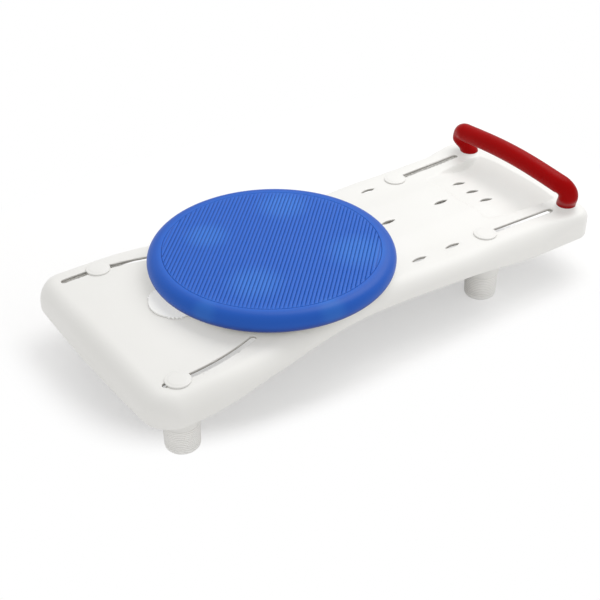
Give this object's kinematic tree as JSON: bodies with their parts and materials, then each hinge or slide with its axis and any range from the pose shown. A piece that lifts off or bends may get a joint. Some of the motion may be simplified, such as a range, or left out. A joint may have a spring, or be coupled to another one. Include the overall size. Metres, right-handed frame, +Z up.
{
  "type": "bath board",
  "caption": "Board that spans a bathtub, with a turning seat disc, a grab handle, a soap tray and clamp feet that slide in slots.",
  "frame": {"origin": "middle of the board's plan, at the level that its feet stand on", "axes": "+X along the board to its handle end, +Z up, -Y towards the viewer of the picture"},
  "size_m": [0.74, 0.345, 0.1528],
  "materials": {
    "white_polypropylene": "moulded, satin",
    "blue_cover": "soft closed-cell foam, ribbed",
    "red_plastic": "moulded, semi-matt",
    "grey_white_rubber": "soft, ribbed",
    "acetal": "low friction",
    "stainless_steel": "plain"
  },
  "bodies": {
    "board": {"deck": "white_polypropylene", "handle": "red_plastic", "handle_screw_near": "stainless_steel", "handle_screw_far": "stainless_steel", "glide_ring": "acetal", "pivot_bolt": "stainless_steel", "pivot_bush": "acetal", "pivot_washer": "stainless_steel", "pivot_nut": "stainless_steel", "lock_rail_near": "acetal", "lock_rail_far": "acetal", "lock_screw_near_inner": "stainless_steel", "lock_screw_near_outer": "stainless_steel", "lock_screw_far_inner": "stainless_steel", "lock_screw_far_outer": "stainless_steel"},
    "seat": {"seat_core": "white_polypropylene", "seat_pad": "blue_cover", "index_ring": "acetal", "index_screw_1": "stainless_steel", "index_screw_2": "stainless_steel", "index_screw_3": "stainless_steel", "index_screw_4": "stainless_steel"},
    "lock": {"lock_tongue": "white_polypropylene"},
    "foot_near_wide": {"foot_bolt_near_wide": "stainless_steel", "slot_cap_near_wide": "white_polypropylene"},
    "clamp_near_wide": {"clamp_washer_near_wide": "stainless_steel"},
    "leg_near_wide": {"leg_tube_near_wide": "white_polypropylene", "leg_sleeve_near_wide": "grey_white_rubber", "leg_nut_near_wide": "stainless_steel"},
    "foot_far_wide": {"foot_bolt_far_wide": "stainless_steel", "slot_cap_far_wide": "white_polypropylene"},
    "clamp_far_wide": {"clamp_washer_far_wide": "stainless_steel"},
    "leg_far_wide": {"leg_tube_far_wide": "white_polypropylene", "leg_sleeve_far_wide": "grey_white_rubber", "leg_nut_far_wide": "stainless_steel"},
    "foot_near_handle": {"foot_bolt_near_handle": "stainless_steel", "slot_cap_near_handle": "white_polypropylene"},
    "clamp_near_handle": {"clamp_washer_near_handle": "stainless_steel"},
    "leg_near_handle": {"leg_tube_near_handle": "white_polypropylene", "leg_sleeve_near_handle": "grey_white_rubber", "leg_nut_near_handle": "stainless_steel"},
    "foot_far_handle": {"foot_bolt_far_handle": "stainless_steel", "slot_cap_far_handle": "white_polypropylene"},
    "clamp_far_handle": {"clamp_washer_far_handle": "stainless_steel"},
    "leg_far_handle": {"leg_tube_far_handle": "white_polypropylene", "leg_sleeve_far_handle": "grey_white_rubber", "leg_nut_far_handle": "stainless_steel"}
  },
  "joints": [
    {"name": "seat_swivel", "type": "hinge", "parent": "board", "child": "seat", "pos_m": [-0.095, 0, 0.11], "axis": [0, 0, 1], "continuous": true},
    {"name": "lock_slide", "type": "slide", "parent": "board", "child": "lock", "axis": [1, 0, 0], "range_m": [0, 0.008]},
    {"name": "travel_near_wide", "type": "hinge", "parent": "board", "child": "foot_near_wide", "pos_m": [-0.3121, 0.1895, 0.09], "axis": [0, 0, 1], "range_deg": [-2.29, 20.53]},
    {"name": "drop_near_wide", "type": "slide", "parent": "foot_near_wide", "child": "clamp_near_wide", "axis": [0, 0, 1], "range_m": [-0.0015, 0]},
    {"name": "turn_near_wide", "type": "hinge", "parent": "clamp_near_wide", "child": "leg_near_wide", "pos_m": [-0.317, -0.13406, 0.04], "axis": [0, 0, 1], "range_deg": [-180, 0]},
    {"name": "travel_far_wide", "type": "hinge", "parent": "board", "child": "foot_far_wide", "pos_m": [-0.3121, -0.1895, 0.09], "axis": [0, 0, -1], "range_deg": [-8.15, 14.67]},
    {"name": "drop_far_wide", "type": "slide", "parent": "foot_far_wide", "child": "clamp_far_wide", "axis": [0, 0, 1], "range_m": [-0.0015, 0]},
    {"name": "turn_far_wide", "type": "hinge", "parent": "clamp_far_wide", "child": "leg_far_wide", "pos_m": [-0.2839, 0.13287, 0.04], "axis": [0, 0, 1], "range_deg": [-180, 0]},
    {"name": "travel_near_handle", "type": "slide", "parent": "board", "child": "foot_near_handle", "axis": [0.9993, -0.0384, 0], "range_m": [0, 0.1101]},
    {"name": "drop_near_handle", "type": "slide", "parent": "foot_near_handle", "child": "clamp_near_handle", "axis": [0, 0, 1], "range_m": [-0.0015, 0]},
    {"name": "turn_near_handle", "type": "hinge", "parent": "clamp_near_handle", "child": "leg_near_handle", "pos_m": [0.195, -0.09774, 0.04], "axis": [0, 0, 1], "range_deg": [-180, 0]},
    {"name": "travel_far_handle", "type": "slide", "parent": "board", "child": "foot_far_handle", "axis": [0.9993, 0.0384, 0], "range_m": [0, 0.1128]},
    {"name": "drop_far_handle", "type": "slide", "parent": "foot_far_handle", "child": "clamp_far_handle", "axis": [0, 0, 1], "range_m": [-0.0015, 0]},
    {"name": "turn_far_handle", "type": "hinge", "parent": "clamp_far_handle", "child": "leg_far_handle", "pos_m": [0.1923, 0.09763, 0.04], "axis": [0, 0, 1], "range_deg": [-180, 0]}
  ],
  "couplings": [
    {"joint": "drop_near_wide", "follows": "turn_near_wide", "m_per_rad": 0.00047746},
    {"joint": "drop_far_wide", "follows": "turn_far_wide", "m_per_rad": 0.00047746},
    {"joint": "drop_near_handle", "follows": "turn_near_handle", "m_per_rad": 0.00047746},
    {"joint": "drop_far_handle", "follows": "turn_far_handle", "m_per_rad": 0.00047746}
  ]
}
